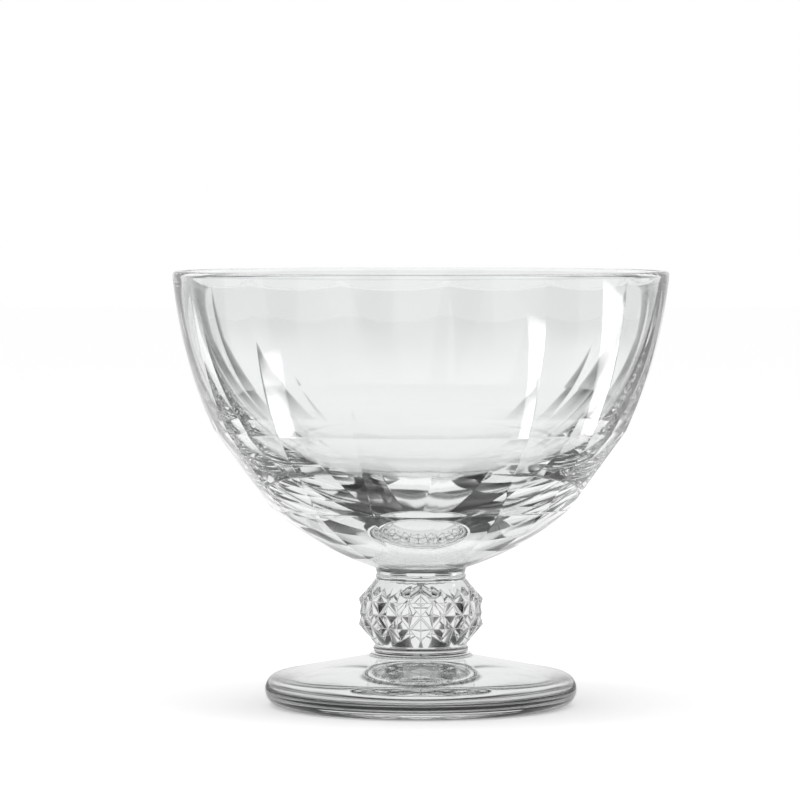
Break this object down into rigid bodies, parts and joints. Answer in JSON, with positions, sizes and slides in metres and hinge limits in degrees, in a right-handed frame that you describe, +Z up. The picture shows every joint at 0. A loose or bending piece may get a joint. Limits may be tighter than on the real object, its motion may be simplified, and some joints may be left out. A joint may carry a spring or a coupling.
{
  "type": "parfait glass",
  "caption": "Low footed dessert glass with a wide flared bowl in upright panels, a short stem with a diamond-point knop between two beads, and a thick round foot.",
  "frame": {"origin": "centre of the foot, on the surface that the glass stands on", "axes": "+Z up along the stem; -Y towards the viewer, with the middle of one panel on +X"},
  "size_m": [0.1164, 0.1164, 0.102],
  "materials": {
    "clear_glass": "clear, fire-polished"
  },
  "bodies": {
    "root": {"foot": "clear_glass", "lower_collar": "clear_glass", "knop": "clear_glass", "upper_collar": "clear_glass", "bowl": "clear_glass"}
  },
  "joints": []
}
